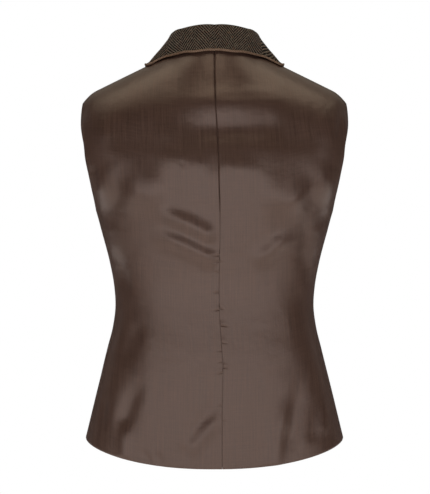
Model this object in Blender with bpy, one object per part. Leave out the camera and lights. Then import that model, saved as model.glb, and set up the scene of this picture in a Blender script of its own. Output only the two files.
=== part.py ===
"""Fitted waistcoat with a turned-down collar, hollow as it is worn.

Lengths are millimetres until a mesh is written in metres. +Z is up, the front
faces -Y and the wearer's left is +X. The origin is the middle of the neck base,
where the wearer's shoulders carry the garment.

A point of the cloth is named by its face (BACK or FRONT), the angle round the
body from the middle line (0) to the side seam (90 degrees, signed: + is the
wearer's left) and the height.
"""
import math

import bmesh
import bpy
import numpy as np
from mathutils import Vector
from mathutils.geometry import delaunay_2d_cdt

BACK, FRONT = 1, -1
LEFT, RIGHT = 1, -1
NEAR_ZERO = 1e-4           # stands for 0 where a normal is taken

# ------------------------------------------------------------------ cloth
SEAM_GAP = 0.3
SATIN = 1.5            # back panels with their lining
TWEED = 2.5            # fronts with facing and lining
COLLAR_CLOTH = 2.4
PIPING_RADIUS = 1.6

# ------------------------------------------------------------------- body
# Level sections from below the hem to the shoulders.
BODY = {
    "height":     (-610, -535, -470, -414, -380, -353, -325, -291,
                   -246, -224, -200, -170, -145, -125, -60, 0),
    "half_width": (199, 179.8, 164, 150, 141.8, 138.5, 140.2, 146.4,
                   158.2, 164.2, 172, 186, 196, 199.5, 200, 200),
    "back":       (91, 90, 89, 87.8, 86.4, 86, 86.8, 90.5,
                   97, 100, 103.2, 105.5, 103.8, 101, 92.5, 87),
    "front":      (112, 110, 107, 101, 97, 96, 98.5, 106.5,
                   115.5, 117, 117, 117, 117, 117, 117, 117),
}
ROUND = {BACK: 2.3, FRONT: 2.5}             # superellipse power of a section
ROOF_START = {BACK: -125.0, FRONT: -245.0}  # where a face starts to lean over
ROOF_BEND = {BACK: 2.0, FRONT: 1.7}
ROOF_POWER = {BACK: 0.5, FRONT: 0.9}
FRONT_POWER_TOP = 0.55                      # the chest rounds over to the shoulder
NAPE_POWER = 0.073                          # the back is steeper under the neck
BUST = dict(out=10.0, x=78.0, height=-240.0, half_x=45.0, half_height=50.0)

COLUMN_SECTION = dict(half_width=160, depth=100, power=2.3)   # spaces the columns of the panels

SHOULDER_NECK_X, SHOULDER_TIP_X = 62.0, 184.0
SHOULDER_NECK_Z = -1.6
SHOULDER_SLOPE = 0.483
SHOULDER_LINE = dict(y=5.0, forward=9.0)    # it runs forward by this much to the tip
NECK_ROOT = 31.6                            # how far the line would rise to the neck's middle
TIP_DROP = dict(start=165.0, run=18.0, fall=7.0)
SIDE_FADE = 8                               # folds die out towards the side seam by this power
RIDGE_BLEND = 0.4                           # heights over which both faces take one normal
NAPE_Y = 62.5
NECKLINE_POWER = 2.0
UNDERARM = -222.0
STRAIGHT_UP_TO = -190.0    # above this the columns of a panel fan out to its upper edge

# ---------------------------------------------------------------- outlines
# Centre-back seam: how far it stands off the middle line.
BACK_SEAM = {
    "height": (-570, -480, -430, -400, -370, -225, -175, -120, -60, 10),
    "x":      (-10.5, -10.5, -11.4, -9.5, -7.4, -7.4, -6.0, -4.2, -0.8, 0),
}
# Lower edge of the back: its middle, its side seam and how it sweeps up between.
BACK_HEM = dict(middle=-569.5, side=-534.2, start=2.3, sweep=1.65)
# Lower edge, from the closing edge round to the side seam.
FRONT_HEM = {
    "round":  (0, 0.05, 0.12, 0.22, 0.35, 0.5, 0.65, 0.8, 0.92, 1.0),
    "height": (-508, -536, -556, -568, -571, -566, -557, -546, -537.5, -534.2),
}
# Closing edge and V of the front: distance from the middle line.
FRONT_EDGE = {
    "height": (-600, -560, -520, -485, -455, -430, -300, -240, -222, -182, -120, -60, -1.6),
    "x":      (36, 22, 6, -6, -13, -15, -15, -15, -12.5, 3, 23.5, 43, 62),
}
# Armhole edge: angle round the body once clear of the underarm corner.
ARMHOLE = {
    BACK:  {"height": (-222, -200, -168, -134, -100, -68), "angle": (75, 73, 66.8, 62.8, 65, 65.6)},
    FRONT: {"height": (-222, -180, -140, -100, -68), "angle": (57, 51.5, 50.5, 57, 65)},
}
ARMHOLE_CORNER = {BACK: 45.0, FRONT: 60.0}  # height of the rounded underarm corner

# Largest folds of the back: lines of soft creases. Each runs between two points, its
# middle moved aside by bow; half is its half-width and depth what it lifts (+) or
# sinks the cloth, eased in over head and out over tail (shares of its length).
FOLDS = (
    # x0,   z0,   x1,   z1, bow, half, depth, head, tail
    (112, -78, -108, -69, 0, 18, 4.0, 0.5, 0.18),     # roll of cloth under the yoke
    (76, -114, -106, -109, 0, 18, -4.8, 0.45, 0.18),  # hollow below it
    (156, -116, 66, -118, 0, 24, -3.0, 0.3, 0.4),     # hollows over the shoulder blades
    (-66, -118, -156, -116, 0, 24, -3.0, 0.4, 0.3),
    (134, -196, 56, -202, -3, 27, 6.4, 0.4, 0.4),     # shoulder blades
    (-56, -204, -134, -202, 0, 27, 6.4, 0.4, 0.4),
    (86, -219, -6, -262, -3, 12, 5.2, 0.5, 0.2),      # drag lines to the middle seam
    (92, -248, -8, -293, -3, 12, 6.2, 0.5, 0.2),
    (-58, -292, -104, -238, -3, 11, -1.8, 0.4, 0.4),
    (-86, -228, -136, -174, 0, 12, 2.4, 0.4, 0.4),    # from the waist to the armhole
    (141, -262, 118, -346, 0, 10, -3.0, 0.5, 0.4),    # pinches at the sides of the waist
    (-130, -212, -126, -334, 4, 10, -3.0, 0.4, 0.4),
    (96, -366, 126, -440, 4, 12, -2.8, 0.4, 0.4),     # hanging folds of the skirt
    (98, -446, 128, -534, 4, 12, -3.4, 0.4, 0.35),
    (-122, -430, -94, -566, 0, 12, -3.2, 0.45, 0.3),
    (-4, -474, 50, -562, 0, 10, -2.2, 0.4, 0.2),
)

# Collar stations from the nape (0) over the shoulder neck point (1) to the end
# of the V (2). Stand is its height, turn the angle from the cloth's own run to
# its normal, radius that of the roll; the outer edge lies at edge_x, where
# edge_over is 1 on the back, 0 on the shoulder line and -1 on the chest.
COLLAR = {
    "along":     (-0.25, 0, 0.25, 0.38, 0.5, 0.61, 0.72, 0.88, 1.0, 1.08, 1.2, 1.4, 1.6, 1.8, 1.9, 2.0),
    "stand":     (23, 22.6, 23, 24.4, 26, 25.2, 23.5, 19, 15.5, 13, 10, 6.5, 4, 2.6, 2.1, 1.8),
    "turn":      (26, 22, 26, 30, 35, 39.5, 44, 53, 63, 69, 76, 84, 88, 88, 88, 88),
    "radius":    (4, 4, 4, 4, 4, 3.9, 3.8, 3.5, 3.3, 3.2, 3.1, 3.0, 2.8, 2.5, 2.3, 2.1),
    "edge_x":    (-27, 0, 27, 39.5, 50, 59, 67.5, 81, 90, 93, 92, 86, 74, 50, 29.5, 12),
    "edge_over": (0.614, 0.65, 0.614, 0.523, 0.425, 0.33, 0.258, 0.225, 0.22, 0.1,
                  -0.21, -0.52, -0.705, -0.845, -0.9, -0.93),
    "clear":     (4.6, 4.6, 4.6, 4.4, 4.2, 4, 3.7, 3.2, 2.7, 2.4, 2.9, 3.3, 3.5, 3.4, 3.3, 3.2),
}
V_END = -182.0
COLLAR_BOW = 0.7                 # the fall bows out between the roll and its edge
STAND_BOW = 0.02                 # share of its height by which the stand bows
COLLAR_GAP = 0.7                 # from the neck edge to the foot of the collar
LEAST_DROP = 0.15                # the fall runs at least this steeply into the cloth

LAP = dict(out=TWEED + 0.9, start=-54.0, end=-22.0)  # right front over left
BUTTON_HEIGHTS = (-232, -298, -364, -430)
BUTTON = dict(radius=9.0, thick=3.2, dish_radius=5.6, dish=0.7, rim=2.0, round=0.6, shoulder=0.2,
              belly=0.3, under=0.8, hole_radius=0.95, hole_off=1.9, hole_sides=8, sides=20)


# ---------------------------------------------------------------- curves
def curve(table, name, at, key="height"):
    """Smooth line through one column of a table."""
    xs, ys = np.asarray(table[key], float), np.asarray(table[name], float)
    slope = np.gradient(ys, xs)
    at = np.clip(at, xs[0], xs[-1])
    i = np.clip(np.searchsorted(xs, at) - 1, 0, len(xs) - 2)
    h = xs[i + 1] - xs[i]
    t = (at - xs[i]) / h
    return ((1 + 2 * t) * (1 - t) ** 2 * ys[i] + t * (1 - t) ** 2 * h * slope[i]
            + t * t * (3 - 2 * t) * ys[i + 1] + t * t * (t - 1) * h * slope[i + 1])


def ease(t):
    t = np.clip(t, 0, 1)
    return t * t * (3 - 2 * t)


def unit(v):
    return v / np.linalg.norm(v, axis=-1, keepdims=True)


def quarter_table():
    """Angle against share of the way from the middle line to the side."""
    ang = np.linspace(0, math.pi / 2, 900)
    section = COLUMN_SECTION
    x = section["half_width"] * np.sin(ang) ** (2 / section["power"])
    y = section["depth"] * np.cos(ang) ** (2 / section["power"])
    run = np.concatenate([[0], np.cumsum(np.hypot(np.diff(x), np.diff(y)))])
    return run / run[-1], ang


SHARE, SHARE_ANGLE = quarter_table()
SIDE_ANGLE = math.pi / 2 - 0.0008           # just short of the plane of the side seam


def angle_of_share(share):
    return np.sign(share) * np.interp(np.abs(share), SHARE, SHARE_ANGLE)


def share_of_angle(ang):
    return np.sign(ang) * np.interp(np.abs(ang), SHARE_ANGLE, SHARE)


# ------------------------------------------------------------------ surface
def ridge_y(x):
    return SHOULDER_LINE["y"] - SHOULDER_LINE["forward"] * (x / SHOULDER_TIP_X) ** 2


def ridge_z(x):
    """Shoulder line; inside the neck it runs on as the smooth root of the neck."""
    x = np.abs(x)
    inside = 1 - np.clip(x / SHOULDER_NECK_X, 0, 1) ** 2
    beyond = np.clip(x - TIP_DROP["start"], 0, None) / TIP_DROP["run"]
    return (SHOULDER_NECK_Z - SHOULDER_SLOPE * np.clip(x - SHOULDER_NECK_X, 0, None)
            + SHOULDER_SLOPE * SHOULDER_NECK_X / 2 * inside + NECK_ROOT * inside ** 2
            - TIP_DROP["fall"] * beyond ** 2)


def lean(face, x, t):
    """How far a face stands off the shoulder line: 1 at the wall, 0 at the ridge."""
    if face == FRONT:
        power = ROOF_POWER[FRONT] - (ROOF_POWER[FRONT] - FRONT_POWER_TOP) * ease(2 * t - 1)
    else:
        power = ROOF_POWER[BACK] + NAPE_POWER * np.clip(1 - np.abs(x) / SHOULDER_NECK_X, 0, 1) ** 2
    return (1 - t ** ROOF_BEND[face]) ** power


def height_of_lean(face, x, wanted):
    low, high = 0.0, 1.0
    for _ in range(40):
        mid = (low + high) / 2
        low, high = (mid, high) if lean(face, x, mid) > wanted else (low, mid)
    return ROOF_START[face] + (float(ridge_z(x)) - ROOF_START[face]) * low


def body(face, ang, z):
    """The smooth figure under the folds."""
    ang, z = np.broadcast_arrays(np.asarray(ang, float), np.asarray(z, float))
    n = ROUND[face]
    x = np.sign(ang) * curve(BODY, "half_width", z) * np.abs(np.sin(ang)) ** (2 / n)
    wall = face * curve(BODY, "back" if face == BACK else "front", z) * np.abs(np.cos(ang)) ** (2 / n)
    start = ROOF_START[face]
    t = np.clip((z - start) / (ridge_z(x) - start), 0, 1)
    y = ridge_y(x) + (wall - ridge_y(x)) * lean(face, x, t)
    y = np.where(z > start, y, wall)
    if face == FRONT:
        across = (np.abs(x) - BUST["x"]) / BUST["half_x"]
        up = (z - BUST["height"]) / BUST["half_height"]
        y = y - BUST["out"] * np.exp(-across ** 2 - up ** 2) * np.cos(ang) ** 0.5
    return np.stack([x, y, z], axis=-1)


def normal(face, ang, z):
    """Outward normal of the figure; at the shoulder line both faces share one."""
    ang, z = np.broadcast_arrays(np.asarray(ang, float), np.asarray(z, float))
    here = body(face, ang, z)
    step = np.where(ang < 0, -0.002, 0.002)
    run = (here - body(face, ang - step, z)) / step[..., None]
    rise = here - body(face, ang, z - 0.5)
    n = unit(-face * np.cross(run, rise))
    x = here[..., 0]
    top = unit(np.stack([np.sign(x) * SHOULDER_SLOPE, np.zeros_like(x), np.ones_like(x)], axis=-1))
    near = np.clip(1 - (ridge_z(x) - z) / RIDGE_BLEND, 0, 1)[..., None]
    return unit(n * (1 - near) + top * near)


def angle_at(face, x, z):
    """Angle whose section point stands at x."""
    share = np.clip(np.abs(x) / curve(BODY, "half_width", z), 0, 1)
    return np.sign(x) * np.arcsin(share ** (ROUND[face] / 2))


def crease_height(rows, ang, point):
    """How far lines of creases lift (+) or sink the cloth."""
    out = 0
    p = point[..., [0, 2]]
    for x0, z0, x1, z1, bow, half, depth, head, tail in rows:
        a, run = np.array([x0, z0]), np.array([x1 - x0, z1 - z0])
        length = np.hypot(*run)
        t = ((p - a) @ run) / length ** 2
        across = ((p - a) @ np.array([-run[1], run[0]])) / length - 4 * bow * t * (1 - t)
        ends = ease(t / head) * ease((1 - t) / tail)
        out = out + depth * ends * np.exp(-(across / half) ** 2)
    return out * (1 - (np.abs(ang) / (math.pi / 2)) ** SIDE_FADE)


def cloth(face, side, ang, z):
    """Outer point of the cloth and its normal."""
    point, n = body(face, ang, z), normal(face, ang, z)
    out = crease_height(FOLDS, ang, point) if face == BACK else np.zeros(point.shape[:-1])
    if face == FRONT and side == RIGHT:
        out = out + LAP["out"] * ease((point[..., 0] - LAP["start"]) / (LAP["end"] - LAP["start"]))
    return point + n * out[..., None], n


# ------------------------------------------------------------------ outlines
def roof_point(side, x, over):
    """Face, angle and height at x; over runs 1 (back) - 0 (ridge) - -1 (chest)."""
    face = BACK if over >= 0 else FRONT
    z = height_of_lean(face, x, abs(over))
    return face, side * float(angle_at(face, x, z)), z


def neckline(along):
    """x and height of the neck edge: 0 nape, 1 shoulder, 2 end of the V."""
    if along > 1:
        z = SHOULDER_NECK_Z + (V_END - SHOULDER_NECK_Z) * (along - 1)
        return FRONT, float(curve(FRONT_EDGE, "x", z)), z
    psi = along * math.pi / 2
    x = SHOULDER_NECK_X * math.sin(psi) ** (2 / NECKLINE_POWER)
    y0 = float(ridge_y(x))
    y = y0 + (NAPE_Y - y0) * max(math.cos(psi), 0) ** (2 / NECKLINE_POWER)
    wall = float(body(BACK, angle_at(BACK, x, ROOF_START[BACK]), ROOF_START[BACK])[1])
    return BACK, x, height_of_lean(BACK, x, (y - y0) / (wall - y0))


def armhole_angle(face, z):
    """Outer edge of a panel above the underarm."""
    wall = np.radians(curve(ARMHOLE[face], "angle", z))
    h = np.clip((z - UNDERARM) / ARMHOLE_CORNER[face], 0, 1)
    return SIDE_ANGLE - (SIDE_ANGLE - wall) * np.sqrt(1 - (1 - h) ** 2)


def inner_share(face, side, z):
    """Inner edge of a panel: the middle seam or the closing edge."""
    if face == BACK:
        x = curve(BACK_SEAM, "x", z) + side * SEAM_GAP / 2
    else:
        x = side * curve(FRONT_EDGE, "x", z)
    return share_of_angle(angle_at(face, x, z))


def hem_height(face, side, columns):
    """Height of the lower edge under each column of a panel."""
    if face == FRONT:
        return curve(FRONT_HEM, "height", columns, "round")
    h = BACK_HEM
    seam = side * inner_share(BACK, side, h["middle"])
    share = np.abs(seam + (1 - seam) * columns)
    return h["side"] + (h["middle"] - h["side"]) * (1 - share ** h["start"]) ** h["sweep"]


def panel(face, side, columns, hem_rows, arm_rows):
    """Angles and heights of a panel's grid, from the hem to the shoulder."""
    columns = np.asarray(columns)
    hem = hem_height(face, side, columns)
    side_share = share_of_angle(SIDE_ANGLE)
    angles, heights = [], []
    for row in np.linspace(0, 1, hem_rows + 1)[:-1]:
        z = hem + (UNDERARM - hem) * row
        share = inner_share(face, side, z) * (1 - columns) + side * side_share * columns
        angles.append(angle_of_share(share))
        heights.append(z)
    top_x, top_z = panel_top(face, columns)
    for row in np.linspace(0, 1, arm_rows + 1):
        z = UNDERARM + (top_z - UNDERARM) * (1 - math.cos(math.pi * row)) / 2

        def wall_x(z):
            share = (inner_share(face, side, z) * (1 - columns)
                     + side * share_of_angle(armhole_angle(face, z)) * columns)
            return body(face, angle_of_share(share), np.minimum(z, top_z))[..., 0], angle_of_share(share)
        x, ang = wall_x(z)
        fan = ease((z - STRAIGHT_UP_TO) / (top_z - STRAIGHT_UP_TO))
        shift = (side * top_x - wall_x(top_z)[0]) * fan
        ang = np.where(np.abs(shift) > 1e-6, angle_at(face, x + shift, z), ang)
        angles.append(ang)
        heights.append(z)
    return np.array(angles), np.array(heights)


def panel_top(face, columns):
    """x and height where each column ends, at the neckline or the shoulder."""
    xs, zs = [], []
    for c in columns:
        if face == BACK and c < NECK_SHARE:
            _, x, z = neckline(c / NECK_SHARE)
            if c == 0:
                x = SEAM_GAP / 2
        else:
            q = (c - NECK_SHARE) / (1 - NECK_SHARE) if face == BACK else c
            x = SHOULDER_NECK_X + (SHOULDER_TIP_X - SHOULDER_NECK_X) * q
            z = float(ridge_z(x))
        xs.append(x)
        zs.append(z)
    return np.array(xs), np.array(zs)


# -------------------------------------------------------------------- meshes
def add_object(name, points, faces):
    mesh = bpy.data.meshes.new(name)
    mesh.from_pydata([tuple(p * 0.001) for p in np.asarray(points, float)], [], faces)
    work = bmesh.new()
    work.from_mesh(mesh)
    bmesh.ops.triangulate(work, faces=work.faces[:], quad_method="SHORT_EDGE")
    bmesh.ops.recalc_face_normals(work, faces=work.faces[:])
    work.to_mesh(mesh)
    work.free()
    obj = bpy.data.objects.new(name, mesh)
    bpy.context.scene.collection.objects.link(obj)


def wall_faces(rows, cols):
    """Faces of a closed wall: outer grid, inner grid and the rim between."""
    def at(layer, i, j):
        return layer * rows * cols + i * cols + j
    faces = []
    for i in range(rows - 1):
        for j in range(cols - 1):
            for layer in (0, 1):
                quad = [at(layer, i, j), at(layer, i, j + 1), at(layer, i + 1, j + 1), at(layer, i + 1, j)]
                faces.append(quad if layer == 0 else quad[::-1])
    edge = ([(0, j) for j in range(cols)] + [(i, cols - 1) for i in range(1, rows)]
            + [(rows - 1, j) for j in range(cols - 2, -1, -1)] + [(i, 0) for i in range(rows - 2, 0, -1)])
    for a, b in zip(edge, edge[1:] + edge[:1]):
        faces.append([at(0, *b), at(0, *a), at(1, *a), at(1, *b)])
    return faces


def add_wall(name, outer, inner):
    rows, cols = outer.shape[:2]
    add_object(name, np.concatenate([outer.reshape(-1, 3), inner.reshape(-1, 3)]), wall_faces(rows, cols))


NECK_SHARE = 0.45
NECK_CELLS, SHOULDER_CELLS = 7, 13
HEM_ROWS, ARM_ROWS = 22, 16      # rows below and above the underarm
PIPING_GAP = 0.7                 # a facet of the tube comes nearer the collar than this


def add_panel(name, face, side, thick):
    shoulder = np.linspace(0, 1, SHOULDER_CELLS + 1)
    if face == BACK:
        neck = np.linspace(0, NECK_SHARE, NECK_CELLS + 1)[:-1]
        columns = np.concatenate([neck, NECK_SHARE + (1 - NECK_SHARE) * shoulder])
    else:
        columns = shoulder
    ang, z = panel(face, side, columns, HEM_ROWS, ARM_ROWS)
    point, n = cloth(face, side, ang, z)
    # the two faces meet at the shoulder line: keep half the seam gap clear of it
    top = point[-1]
    on_ridge = np.abs(ridge_z(top[:, 0]) - top[:, 2]) < 0.5
    point[-1, on_ridge, 1] += face * SEAM_GAP / 2
    # and at the side seam, below the underarm
    point[:HEM_ROWS + 1, -1, 1] = face * SEAM_GAP / 2
    inner = point - n * thick
    if face == BACK:
        inner[:, 0, 0] = point[:, 0, 0]     # the middle seam keeps its gap through the cloth
    add_wall(name, point, inner)


def collar_station(side, along):
    """Collar section in space: outer and inner points, its edge and fall."""
    row = {k: float(curve(COLLAR, k, along, "along")) for k in COLLAR}

    def rim(a):
        f, x, z = neckline(a)
        x = max(x, NEAR_ZERO)
        return cloth(f, side, side * angle_at(f, x, z), z)
    point, n = rim(along)
    if along < 0.02:
        point[0], n[0] = 0, 0
        run = np.array([side, 0, 0.0])
    else:
        run = rim(min(along + 0.02, 2))[0] - rim(along - 0.02)[0]
    run, n = unit(run), unit(n)
    off = unit(np.cross(run, n)) * side
    turn = math.radians(row["turn"])
    up = math.cos(turn) * off + math.sin(turn) * n
    foot = point + off * (COLLAR_GAP + COLLAR_CLOTH / 2 * math.sin(turn)) - n * math.sin(turn)
    eface, eang, ez = roof_point(side, row["edge_x"], row["edge_over"])
    edge, en = cloth(eface, side, eang, ez)
    if along < 0.02:
        edge[0], en[0] = 0, 0
    edge = edge + unit(en) * row["clear"]
    out = edge - foot
    out = unit(out - up * (out @ up))
    pe, qe = (edge - foot) @ out, (edge - foot) @ up
    h, r = row["stand"], row["radius"]
    far = math.hypot(pe - r, qe - h)
    end = math.atan2(qe - h, pe - r) + math.acos(min(r / far, 1))
    flat = [(0, 0), (-STAND_BOW * h, h / 2)]
    flat += [(r + r * math.cos(b), h + r * math.sin(b)) for b in np.linspace(math.pi, end, 6)]
    last = np.array(flat[-1])
    for s in (0.25, 0.5, 0.75, 1.0):
        p = last + (np.array([pe, qe]) - last) * s
        q = unit(np.array([qe - last[1], last[0] - pe])) * -COLLAR_BOW * 4 * s * (1 - s)
        flat.append(tuple(p + q))
    flat = np.array(flat)
    run2 = unit(np.gradient(flat, axis=0))
    side2 = np.stack([-run2[:, 1], run2[:, 0]], axis=1)   # towards the roll's outside
    to_space = lambda f: foot + f[:, :1] * out + f[:, 1:] * up
    outer = to_space(flat + side2 * COLLAR_CLOTH / 2)
    inner = to_space(flat - side2 * COLLAR_CLOTH / 2)
    fall = run2[-1, 0] * out + run2[-1, 1] * up
    fall = fall + en * max(-LEAST_DROP - fall @ en, 0)
    return outer, inner, to_space(flat[-1:])[0], fall


def collar_stations():
    half = np.concatenate([np.linspace(0, 1, 13)[:-1], np.linspace(1, 2, 15)])
    return ([(RIGHT, a) for a in half[:0:-1]] + [(LEFT, a) for a in half])


TUBE_START = (0.31, 0.22, 0.93)      # a direction that no part of the piping runs in


def tube(centres, radius, sides):
    run = unit(np.gradient(centres, axis=0))
    points, faces = [], []
    for c, t in zip(centres, run):
        u = unit(np.cross(t, TUBE_START))
        v = np.cross(t, u)
        for k in range(sides):
            b = 2 * math.pi * k / sides
            points.append(c + radius * (math.cos(b) * u + math.sin(b) * v))
    rows = len(centres)
    for i in range(rows - 1):
        for k in range(sides):
            m = (k + 1) % sides
            faces.append([i * sides + k, i * sides + m, (i + 1) * sides + m, (i + 1) * sides + k])
    faces += [list(range(sides))[::-1], [(rows - 1) * sides + k for k in range(sides)]]
    return points, faces


def add_collar():
    outer, inner, edge, fall = map(np.array, zip(*[collar_station(s, a) for s, a in collar_stations()]))
    add_wall("collar", outer, inner)
    run = unit(np.gradient(edge, axis=0))
    beyond = unit(fall - run * (fall * run).sum(axis=1, keepdims=True))
    points, faces = tube(edge + beyond * (PIPING_RADIUS + PIPING_GAP), PIPING_RADIUS, 8)
    add_object("collar_piping", points, faces)


def add_button(name, height):
    b = BUTTON
    base, n = cloth(FRONT, RIGHT, NEAR_ZERO, height)
    u = unit(np.cross((0, 0, 1.0), n))
    v = np.cross(n, u)
    sides, half = b["sides"], b["thick"] / 2
    ring = [(math.cos(2 * math.pi * k / sides), math.sin(2 * math.pi * k / sides)) for k in range(sides)]
    profile = [
        (b["dish_radius"], half - b["dish"]),
        (b["radius"] - b["rim"], half),
        (b["radius"] - b["round"], half - b["shoulder"]),
        (b["radius"], b["belly"]),
        (b["radius"] - b["under"], b["belly"] - half),
        (b["dish_radius"], -half),
    ]
    flat = [(r * x, r * y, w) for r, w in profile for x, y in ring]
    faces = []
    for i in range(len(profile) - 1):
        for k in range(sides):
            m = (k + 1) % sides
            faces.append([i * sides + k, i * sides + m, (i + 1) * sides + m, (i + 1) * sides + k])
    # the dished middle, with four thread holes, on both faces
    disc = [Vector((b["dish_radius"] * x, b["dish_radius"] * y)) for x, y in ring]
    loops = [list(range(sides))]
    centres = [(sx * b["hole_off"], sy * b["hole_off"]) for sx, sy in ((1, 1), (-1, 1), (-1, -1), (1, -1))]
    around = b["hole_sides"]
    for x, y in centres:
        first = len(disc)
        for k in range(around):
            turn = 2 * math.pi * k / around
            disc.append(Vector((x + b["hole_radius"] * math.cos(turn), y + b["hole_radius"] * math.sin(turn))))
        loops.append(list(range(first, first + around))[::-1])
    _, _, tris, *_ = delaunay_2d_cdt(disc, [], loops, 1, 1e-6)
    # a triangle whose middle lies in a hole is left out
    middles = [sum((disc[i] for i in t), Vector((0, 0))) / 3 for t in tris]
    tris = [t for t, middle in zip(tris, middles)
            if all(math.dist(middle, c) > b["hole_radius"] * 0.9 for c in centres)]
    last = (len(profile) - 1) * sides
    hole_top = len(flat)
    flat += [(p.x, p.y, half - b["dish"]) for p in disc[sides:]]
    hole_low = len(flat)
    flat += [(p.x, p.y, -half) for p in disc[sides:]]
    top = lambda i: i if i < sides else hole_top + i - sides
    low = lambda i: last + i if i < sides else hole_low + i - sides
    faces += [[top(i) for i in t] for t in tris] + [[low(i) for i in t][::-1] for t in tris]
    for hole in range(len(centres)):
        for k in range(around):
            here, onward = around * hole + k, around * hole + (k + 1) % around
            faces.append([hole_top + here, hole_top + onward, hole_low + onward, hole_low + here])
    # it rests on the highest cloth under it
    spread = b["radius"] * np.array([-1, -0.5, 0, 0.5, 1])
    under = [cloth(FRONT, RIGHT, angle_at(FRONT, x + NEAR_ZERO, z), z)[0] for x in spread for z in height + spread]
    lift = max((p - base) @ n for p in under)
    centre = base + n * (half + lift + SEAM_GAP)
    add_object(name, [centre + p[0] * u + p[1] * v + p[2] * n for p in flat], faces)


def build():
    for obj in list(bpy.data.objects):
        bpy.data.objects.remove(obj)
    add_panel("back_left", BACK, LEFT, SATIN)
    add_panel("back_right", BACK, RIGHT, SATIN)
    add_panel("front_left", FRONT, LEFT, TWEED)
    add_panel("front_right", FRONT, RIGHT, TWEED)
    add_collar()
    for i, height in enumerate(BUTTON_HEIGHTS):
        add_button(f"button_{i + 1}", height)


build()
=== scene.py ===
"""Looks of the fitted waistcoat: satin back, herringbone fronts, turned-down collar.

Lengths are millimetres until a mesh is written in metres. +Z is up, the front faces
-Y, the wearer's left is +X, and the origin is the middle of the neck base. The cloth
is laid on the same surface as the solids, finer, with its creases, seams and edges.
"""
import math

import bmesh
import bpy
import numpy as np
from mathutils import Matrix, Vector


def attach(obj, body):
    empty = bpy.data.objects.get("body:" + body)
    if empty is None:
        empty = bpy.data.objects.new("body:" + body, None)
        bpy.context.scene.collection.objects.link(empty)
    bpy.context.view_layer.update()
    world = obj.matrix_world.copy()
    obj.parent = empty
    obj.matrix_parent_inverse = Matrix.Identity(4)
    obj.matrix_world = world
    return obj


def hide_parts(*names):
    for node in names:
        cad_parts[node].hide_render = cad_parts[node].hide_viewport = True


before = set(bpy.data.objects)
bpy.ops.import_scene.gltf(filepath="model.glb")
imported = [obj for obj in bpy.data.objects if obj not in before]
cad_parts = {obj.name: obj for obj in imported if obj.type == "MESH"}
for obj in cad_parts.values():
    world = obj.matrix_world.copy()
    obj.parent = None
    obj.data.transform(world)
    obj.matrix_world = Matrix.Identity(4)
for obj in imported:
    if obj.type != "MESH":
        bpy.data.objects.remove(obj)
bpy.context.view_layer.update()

BACK, FRONT = 1, -1
LEFT, RIGHT = 1, -1
MM = 0.001  # metres in a millimetre
NEAR_ZERO = 1e-4  # stands for 0 where a normal is taken
TINY, LEAST = 1e-6, 1e-9  # nothing but rounding, and too little to change a direction

# ---- cloth
SEAM_GAP = 0.3
SATIN = 1.5  # back panels with their lining
TWEED = 2.5  # fronts with facing and lining
COLLAR_CLOTH = 2.4
PIPING_RADIUS = 1.6
PIPING_GAP = 0.3  # from the collar's edge to the piping

# ---- body
# Level sections from below the hem to the shoulders.
BODY = {
    "height":     (-610, -535, -470, -414, -380, -353, -325, -291,
                   -246, -224, -200, -170, -145, -125, -60, 0),
    "half_width": (199, 179.8, 164, 150, 141.8, 138.5, 140.2, 146.4,
                   158.2, 164.2, 172, 186, 196, 199.5, 200, 200),
    "back":       (91, 90, 89, 87.8, 86.4, 86, 86.8, 90.5,
                   97, 100, 103.2, 105.5, 103.8, 101, 92.5, 87),
    "front":      (112, 110, 107, 101, 97, 96, 98.5, 106.5,
                   115.5, 117, 117, 117, 117, 117, 117, 117),
}
ROUND = {BACK: 2.3, FRONT: 2.5}  # superellipse power of a section
ROOF_START = {BACK: -125.0, FRONT: -245.0}  # where a face starts to lean over
ROOF_BEND = {BACK: 2.0, FRONT: 1.7}
ROOF_POWER = {BACK: 0.5, FRONT: 0.9}
FRONT_POWER_TOP = 0.55  # the chest rounds over to the shoulder
NAPE_POWER = 0.073  # the back is steeper under the neck
BUST = dict(out=10.0, x=78.0, height=-240.0, half_x=45.0, half_height=50.0)

# A section whose length spaces the columns of the panels.
COLUMN_SECTION = dict(half_width=160, depth=100, power=2.3, steps=900)
SHOULDER_NECK_X, SHOULDER_TIP_X = 62.0, 184.0
SHOULDER_NECK_Z = -1.6
SHOULDER_SLOPE = 0.483
SHOULDER_LINE = dict(y=5.0, forward=9.0)  # it runs forward by this much to the tip
NECK_ROOT = 31.6  # how far the line would rise to the neck's middle
TIP_DROP = dict(start=165.0, run=18.0, fall=7.0)
SIDE_FADE = 8  # folds die out towards the side seam by this power
RIDGE_BLEND = 0.4  # height over which both faces come to one normal
NORMAL_STEP = dict(angle=0.002, height=0.5)
HALVINGS = 40  # of the way to a height that is searched for
NAPE_Y = 62.5
NECKLINE_POWER = 2.0
UNDERARM = -222.0
STRAIGHT_UP_TO = -190.0  # above this the columns of a panel fan out to its upper edge

# ---- outlines
# Centre-back seam: how far it stands off the middle line.
BACK_SEAM = {
    "height": (-570, -480, -430, -400, -370, -225, -175, -120, -60, 10),
    "x":      (-10.5, -10.5, -11.4, -9.5, -7.4, -7.4, -6.0, -4.2, -0.8, 0),
}
# Lower edge of the back: its middle, its side seam and how it sweeps up between.
BACK_HEM = dict(middle=-569.5, side=-534.2, start=2.3, sweep=1.65)
# Lower edge of the front, from the closing edge round to the side seam.
FRONT_HEM = {
    "round":  (0, 0.05, 0.12, 0.22, 0.35, 0.5, 0.65, 0.8, 0.92, 1.0),
    "height": (-508, -536, -556, -568, -571, -566, -557, -546, -537.5, -534.2),
}
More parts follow.
